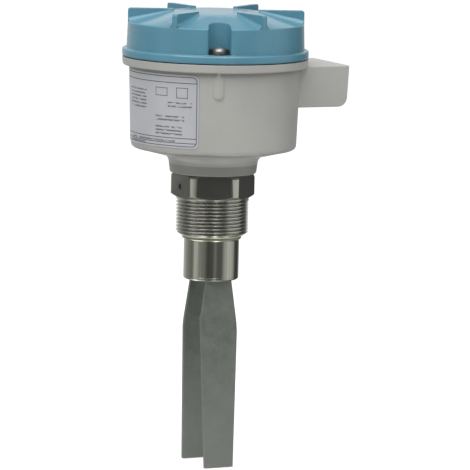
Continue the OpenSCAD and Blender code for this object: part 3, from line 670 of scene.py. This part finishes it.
def rubber():
    material, place = new_finish("rubber")
    bloom = place.noise(per_metre=220.0, detail=4.0)
    return close_finish(
        material,
        Base_Color=bloom.blend(*RUBBER_TONES),
        Roughness=0.5 + 0.25 * bloom,
        Normal=place.noise(per_metre=1500.0).bump(height_mm=0.02, strength=0.5),
    )


def moulded(name, dark, light, roughness):
    material, place = new_finish(name)
    grain = place.noise(per_metre=1200.0)
    clouds = place.noise(per_metre=80.0)
    return close_finish(
        material,
        Base_Color=clouds.blend(dark, light),
        Roughness=roughness + 0.15 * grain,
        Normal=grain.bump(height_mm=0.015, strength=0.5),
    )


def board_laminate():
    material, place = new_finish("board_laminate")
    tracks = place.stretch(90, 420, 1).noise(per_metre=1.0, detail=1.0).rise(0.52, 0.54)
    return close_finish(
        material,
        Base_Color=tracks.blend(*BOARD_TONES),
        Roughness=0.35 - 0.08 * tracks,
        Normal=tracks.bump(height_mm=0.03, strength=0.6),
    )


def rolled_brass():
    material, place = new_finish("contact_brass")
    rolling = place.stretch(900, 40, 900).noise(per_metre=1.0, detail=3.0)
    return close_finish(
        material,
        Base_Color=rolling.blend(*BRASS_TONES),
        Metallic=1.0,
        Roughness=0.24 + 0.16 * rolling,
    )


finishes["rubber"] = rubber()
finishes["board_laminate"] = board_laminate()
finishes["contact_brass"] = rolled_brass()
for name, dark, light, roughness in (
    ("terminal_plastic", (0.03, 0.13, 0.05), (0.05, 0.17, 0.07), 0.3),
    ("component_plastic", (0.018, 0.018, 0.02), (0.03, 0.03, 0.034), 0.45),
    ("light_plastic", (0.56, 0.54, 0.48), (0.64, 0.62, 0.56), 0.35),
    ("lamp_lens", (0.34, 0.012, 0.01), (0.42, 0.02, 0.015), 0.12),
    ("drive_ceramic", (0.58, 0.55, 0.46), (0.68, 0.65, 0.57), 0.5),
):
    finishes[name] = moulded(name, dark, light, roughness)
print("finishes:", len(finishes))

# %% [markdown]
# ## Dressing the solids
# Every solid has a material slot in the model's record. A list of pairs written by hand could fall out
# of step with the model, so the slots are read from the frame, and each solid gets its slot's finish.

# %% Every solid gets the finish of its slot
slot_of = {row["node"]: row["material_slot"] for row in frame["record"]["subparts"]}
for name, solid in nodes.items():
    solid.data.materials.clear()
    solid.data.materials.append(finishes[slot_of[name]])
print("dressed solids:", len(slot_of))

# %% [markdown]
# ## A copy that may be shaped
# The CAD solids stay as they are. Where a visible solid needs more shape, a merged copy takes its
# place. The solid's mesh is loose triangles, so its doubles are merged first, and flat fields of
# triangles are dissolved, which gives the bevel clean edges to work on. Other shapes are then joined to
# the copy or taken out of it by a Boolean modifier. Its exact solver is the slower one, but it copes
# with faces that nearly touch.

# %% Copy of a solid
MERGE_MM = 0.002
FLAT_WITHIN = math.radians(0.2)
SMOOTH_UNDER = math.radians(30)


def take_up(piece):
    """Selects this piece alone and makes it the active one."""
    bpy.ops.object.select_all(action="DESELECT")
    piece.select_set(True)
    bpy.context.view_layer.objects.active = piece


def shaped_copy(node, name):
    piece = bpy.data.objects.new(name, nodes[node].data.copy())
    bpy.context.scene.collection.objects.link(piece)
    take_up(piece)
    bpy.ops.object.mode_set(mode="EDIT")
    bpy.ops.mesh.select_all(action="SELECT")
    bpy.ops.mesh.remove_doubles(threshold=MERGE_MM * MM)
    bpy.ops.mesh.customdata_custom_splitnormals_clear()
    bpy.ops.mesh.dissolve_limited(angle_limit=FLAT_WITHIN)
    bpy.ops.object.mode_set(mode="OBJECT")
    return piece


def smooth(piece):
    take_up(piece)
    bpy.ops.object.shade_smooth_by_angle(angle=SMOOTH_UNDER)


def stand_in(piece, node, body):
    """The piece takes the node's place, finish and motion."""
    smooth(piece)
    piece.data.materials.clear()
    piece.data.materials.append(finishes[slot_of[node]])
    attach(piece, body)
    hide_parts(node)
    print(piece.name, "faces:", len(piece.data.polygons))


print("solids that can be copied:", len(nodes))


# %% Shapes joined or taken out, points and edges picked
def combine(piece, other, operation):
    """UNION joins the other shape to the piece, and DIFFERENCE takes it out."""
    take_up(piece)
    boolean = piece.modifiers.new("combine", "BOOLEAN")
    boolean.operation = operation
    boolean.solver = "EXACT"
    boolean.object = other
    bpy.ops.object.modifier_apply(modifier=boolean.name)
    bpy.data.objects.remove(other)


def select_points(piece, wanted):
    """In edit mode, selects only the points whose place is wanted."""
    bpy.ops.mesh.select_all(action="DESELECT")
    bpy.ops.object.mode_set(mode="OBJECT")
    for vertex in piece.data.vertices:
        vertex.select = wanted(vertex.co)
    bpy.ops.object.mode_set(mode="EDIT")


def select_edges(piece, wanted):
    """In edit mode, selects only the edges with both ends at a wanted place."""
    bpy.ops.mesh.select_all(action="DESELECT")
    bpy.ops.mesh.select_mode(type="EDGE")
    bpy.ops.object.mode_set(mode="OBJECT")
    ends = [wanted(vertex.co) for vertex in piece.data.vertices]
    for edge in piece.data.edges:
        edge.select = all(ends[i] for i in edge.vertices)
    bpy.ops.object.mode_set(mode="EDIT")


print("shaping helpers:", combine.__name__, select_points.__name__, select_edges.__name__)

# %% [markdown]
# ## The lid's casting radii
# A casting has a soft hollow where a rib meets the skin. Each hollow is a tapering square bar, turned
# on its corner, with its middle line just inside the joint. Three of its faces are inside the lid, and
# the fourth shows as the hollow. A bar right on the joint would have edges that lie in the rib's face,
# which a boolean can't sort out. Last, the ribs' outer top edges are rounded with a bevel.

# %% Hollows beside the ribs
LID_EAVE_R = 57.7
LID_EAVE_Z = 114.7
LID_FLAT_R = 29.0
LID_FLAT_Z = 122.1
RIB_TOP_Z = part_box("lid")[1].z / MM
RIB_T = 3.6
RIB_TURNS = range(30, 390, 60)
HOLLOW_IN = 0.9
HOLLOW_OUT = 2.4
HOLLOW_SUNK = 0.17
HOLLOW_SHORT = 0.5
RIB_ROUND = 1.6
RIB_TOP_WITHIN = 0.05
RIB_END_WITHIN = 0.6


def rib_hollow(turn, side):
    """One bar along the joint of a rib and the cone. The bar is built along Z and then laid down."""
    end_r = LID_EAVE_R - HOLLOW_SHORT
    slope = math.atan2(LID_FLAT_Z - LID_EAVE_Z, LID_EAVE_R - LID_FLAT_R)
    length = (end_r - LID_FLAT_R) / math.cos(slope)
    middle_r = (end_r + LID_FLAT_R) / 2
    middle_z = LID_FLAT_Z - (middle_r - LID_FLAT_R) * math.tan(slope) - HOLLOW_SUNK
    middle = (side * (RIB_T / 2 - HOLLOW_SUNK) * MM, -middle_r * MM, middle_z * MM)
    bpy.ops.object.select_all(action="DESELECT")
    bpy.ops.mesh.primitive_cone_add(
        vertices=4, radius1=HOLLOW_OUT * MM, radius2=HOLLOW_IN * MM, depth=length * MM)
    bar = bpy.context.object
    to_rib = Matrix.Rotation(math.radians(turn), 4, "Z")
    lay_down = Matrix.Rotation(slope - math.pi / 2, 4, "X")
    bar.matrix_world = to_rib @ Matrix.Translation(middle) @ lay_down
    bpy.ops.object.transform_apply(location=True, rotation=True, scale=True)
    return bar


def at_rib_end(place):
    """True at the top edge of a rib's outer end."""
    on_top = place.z > (RIB_TOP_Z - RIB_TOP_WITHIN) * MM
    return on_top and math.hypot(place.x, place.y) > (LID_EAVE_R - RIB_END_WITHIN) * MM


def round_rib_ends(piece):
    bpy.ops.object.mode_set(mode="EDIT")
    select_edges(piece, at_rib_end)
    bpy.ops.mesh.bevel(offset=RIB_ROUND * MM, segments=4, affect="EDGES")
    bpy.ops.object.mode_set(mode="OBJECT")


cast_lid = shaped_copy("lid", "cast_lid")
for turn in RIB_TURNS:
    for side in (-1, 1):
        combine(cast_lid, rib_hollow(turn, side), "UNION")
round_rib_ends(cast_lid)
stand_in(cast_lid, "lid", "enclosure")

# %% [markdown]
# ## The hexagon's corners
# A hexagon's upper corners are turned off on the lathe, which leaves a small curved edge on each flat.
# A bevel would give straight facets, where a lathe cuts one cone right round, so a ring cuts it here.
# A torus with a section of only four corners is a ring with cone faces, so it is the turning tool: it
# is stretched along the axis until its inner lower face has the slope of the corner.

# %% Turn the corners off
CORNER_R = 26.5
CORNER_STEEP = 1.8
RING_SECTION = 3.0
RING_ABOVE = 0.15


def corner_ring():
    bpy.ops.object.select_all(action="DESELECT")
    bpy.ops.mesh.primitive_torus_add(
        major_segments=180, minor_segments=4,
        major_radius=(CORNER_R + RING_SECTION) * MM, minor_radius=RING_SECTION * MM)
    ring = bpy.context.object
    bpy.ops.object.mode_set(mode="EDIT")
    bpy.ops.mesh.select_all(action="SELECT")
    bpy.ops.transform.resize(value=(1, 1, CORNER_STEEP), center_override=(0, 0, 0))
    bpy.ops.transform.translate(value=(0, 0, (HEX_TOP + RING_ABOVE) * MM))
    bpy.ops.object.mode_set(mode="OBJECT")
    return ring


threaded = shaped_copy("process_connection", "threaded_connection")
combine(threaded, corner_ring(), "DIFFERENCE")
print("hexagon with turned corners, faces:", len(threaded.data.polygons))

# %% [markdown]
# ## The pipe thread
# The solid has a plain cylinder where the thread is. A thread is a groove that climbs round the axis,
# so one groove section is drawn, screwed round the axis by the Screw modifier, closed at its ends and
# taken out of the copy. A bump texture would be quicker, but its outline would stay smooth. The
# section's wide side is out for the pipe thread, and in for the cable entries' inner threads.

# %% Groove that climbs round the Z axis
STEPS_PER_TURN = 90


def climbing_groove(mouth_r, root_r, mouth_w, root_w, pitch, turns, start):
    middle = (mouth_r + root_r) / 2
    centre = (middle * MM, 0, start * MM)
    bpy.ops.object.select_all(action="DESELECT")
    bpy.ops.mesh.primitive_plane_add(size=MM, location=(0, 0, 0), rotation=(math.pi / 2, 0, 0))
    cutter = bpy.context.object
    cutter.scale = (abs(mouth_r - root_r), mouth_w, 1)
    cutter.location = centre
    bpy.ops.object.transform_apply(location=True, rotation=True, scale=True)
    bpy.ops.object.mode_set(mode="EDIT")
    bpy.ops.mesh.select_all(action="SELECT")
    bpy.ops.mesh.delete(type="ONLY_FACE")
    select_points(cutter, lambda place: (place.x < middle * MM) == (root_r < mouth_r))
    bpy.ops.transform.resize(value=(1, 1, root_w / mouth_w), center_override=centre)
    bpy.ops.object.mode_set(mode="OBJECT")
    screw = cutter.modifiers.new("climb", "SCREW")
    screw.axis = "Z"
    screw.angle = 2 * math.pi
    screw.screw_offset = pitch * MM
    screw.iterations = turns
    screw.steps = STEPS_PER_TURN
    screw.render_steps = STEPS_PER_TURN
    bpy.ops.object.modifier_apply(modifier=screw.name)
    bpy.ops.object.mode_set(mode="EDIT")
    bpy.ops.mesh.select_all(action="SELECT")
    bpy.ops.mesh.fill_holes(sides=0)
    bpy.ops.mesh.select_all(action="SELECT")
    bpy.ops.mesh.normals_make_consistent(inside=False)
    bpy.ops.object.mode_set(mode="OBJECT")
    return cutter


print("steps in one turn of a groove:", STEPS_PER_TURN)

# %% Cut the pipe thread
mount_size = {row["name"]: row["dims"] for row in frame["record"]["mounts"]}
PIPE_CREST_R = mount_size["process_thread"]["r_mm"]
PIPE_PITCH = 25.4 / 11
PIPE_FLANK = math.tan(math.radians(27.5))
PIPE_ROOT_W = 0.3
PIPE_TURNS = 12
PIPE_START = -28.9
GROOVE_OVER = 0.3


def pipe_groove():
    mouth = PIPE_CREST_R + GROOVE_OVER
    wide = PIPE_ROOT_W + 2 * (mouth - PIPE_ROOT_R) * PIPE_FLANK
    return climbing_groove(mouth, PIPE_ROOT_R, wide, PIPE_ROOT_W, PIPE_PITCH, PIPE_TURNS, PIPE_START)


combine(threaded, pipe_groove(), "DIFFERENCE")
stand_in(threaded, "process_connection", "process")

# %% [markdown]
# ## Noses of the screw bosses
# Under the flange the bosses of the lid screws show in the wall as narrow round-ended noses. Points of
# the wall could be pushed out, but that would bend the faces beside them, so a nose is made apart. It
# is a cylinder: its lower edge is rounded with a bevel, it is pressed flat so that it stays within the
# wall, and it is turned to its screw and joined to a copy of the enclosure.

# %% Join the noses to the enclosure
BOSS_R = 3.9
BOSS_DEPTH = 2.2
BOSS_AT_R = 54.8
BOSS_LENGTH = 17.6
BOSS_SUNK = 1.0
BOSS_ROUND = 2.6
BOSS_TURNS = (0, 240)


def boss_nose(turn):
    length = BOSS_LENGTH + BOSS_SUNK
    middle = (0, -BOSS_AT_R * MM, (FLANGE_UNDER - BOSS_LENGTH + length / 2) * MM)
    bpy.ops.object.select_all(action="DESELECT")
    bpy.ops.mesh.primitive_cylinder_add(vertices=48, radius=BOSS_R * MM, depth=length * MM)
    nose = bpy.context.object
    bpy.ops.object.mode_set(mode="EDIT")
    select_edges(nose, lambda place: place.z < 0)
    bpy.ops.mesh.bevel(offset=BOSS_ROUND * MM, segments=5, affect="EDGES")
    bpy.ops.mesh.select_all(action="SELECT")
    bpy.ops.transform.resize(value=(1, BOSS_DEPTH / BOSS_R, 1), center_override=(0, 0, 0))
    bpy.ops.object.mode_set(mode="OBJECT")
    nose.matrix_world = Matrix.Rotation(math.radians(turn), 4, "Z") @ Matrix.Translation(middle)
    bpy.ops.object.transform_apply(location=True, rotation=True, scale=True)
    return nose


cast_housing = shaped_copy("housing", "cast_housing")
for turn in BOSS_TURNS:
    combine(cast_housing, boss_nose(turn), "UNION")
print("enclosure with noses, faces:", len(cast_housing.data.polygons))

# %% [markdown]
# ## Threads in the cable entries
# The two cable entries have metric threads. Their grooves open towards the hole's axis, so the same
# function draws them with the root outside the mouth. Each groove is built upright, then laid down
# along its entry and taken out of the enclosure's copy.

# %% Cut the entries' threads
ENTRY_TURN = math.radians(111)
ENTRY_OFF = 14.0
ENTRY_REACH = 84.0
ENTRY_Z = 73.9
ENTRY_CORE_R = mount_size["cable_entry_near"]["r_mm"]
ENTRY_ROOT_R = 10.0
ENTRY_PITCH = 1.5
ENTRY_FLANK = math.tan(math.radians(30))
ENTRY_ROOT_W = 0.2
ENTRY_TURNS = 9
ENTRY_START = 0.8


def entry_groove(side):
    mouth = ENTRY_CORE_R - GROOVE_OVER
    wide = ENTRY_ROOT_W + 2 * (ENTRY_ROOT_R - mouth) * ENTRY_FLANK
    groove = climbing_groove(
        mouth, ENTRY_ROOT_R, wide, ENTRY_ROOT_W, ENTRY_PITCH, ENTRY_TURNS, ENTRY_START)
    take_up(groove)
    hole = (side * ENTRY_OFF * MM, -ENTRY_REACH * MM, ENTRY_Z * MM)
    to_block = Matrix.Rotation(ENTRY_TURN, 4, "Z")
    lay_down = Matrix.Rotation(-math.pi / 2, 4, "X")
    groove.matrix_world = to_block @ Matrix.Translation(hole) @ lay_down
    bpy.ops.object.transform_apply(location=True, rotation=True, scale=True)
    return groove


for side in (-1, 1):
    combine(cast_housing, entry_groove(side), "DIFFERENCE")
stand_in(cast_housing, "housing", "enclosure")

# %% [markdown]
# ## The weld
# The tube is welded into the thread's nose, and the weld is ground to a bright bead. A bump in the
# finish would not show in the outline, so the bead is a piece of its own. It starts as a torus round
# the tube. Grinding leaves it lower than it is wide and lets it run out on the tube, so the ring is
# flattened, and its lower half is drawn in.

# %% Bead between the nose and the tube
BEAD_R = 18.5
BEAD_SECTION = 1.1
BEAD_FLAT = 0.85
BEAD_LOWER = -0.1 * BEAD_SECTION
BEAD_RUN_OUT = 0.98


def weld_bead():
    bpy.ops.object.select_all(action="DESELECT")
    bpy.ops.mesh.primitive_torus_add(
        major_segments=120, minor_segments=16, major_radius=BEAD_R * MM, minor_radius=BEAD_SECTION * MM)
    bead = bpy.context.object
    bead.name = "weld_bead"
    bpy.ops.object.mode_set(mode="EDIT")
    bpy.ops.mesh.select_all(action="SELECT")
    bpy.ops.transform.resize(value=(1, 1, BEAD_FLAT), center_override=(0, 0, 0))
    select_points(bead, lambda place: place.z < BEAD_LOWER * MM)
    bpy.ops.transform.resize(value=(BEAD_RUN_OUT, BEAD_RUN_OUT, 1), center_override=(0, 0, 0))
    bpy.ops.mesh.select_all(action="SELECT")
    bpy.ops.transform.translate(value=(0, 0, TUBE_TOP * MM))
    bpy.ops.object.mode_set(mode="OBJECT")
    smooth(bead)
    bead.data.materials.append(finishes["stainless"])
    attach(bead, "process")
    return bead


bead = weld_bead()
print("weld bead faces:", len(bead.data.polygons))

# %% [markdown]
# ## The size
# Nothing above may grow the object. The CAD box, kept when the solids were loaded, sets the floor's
# height.
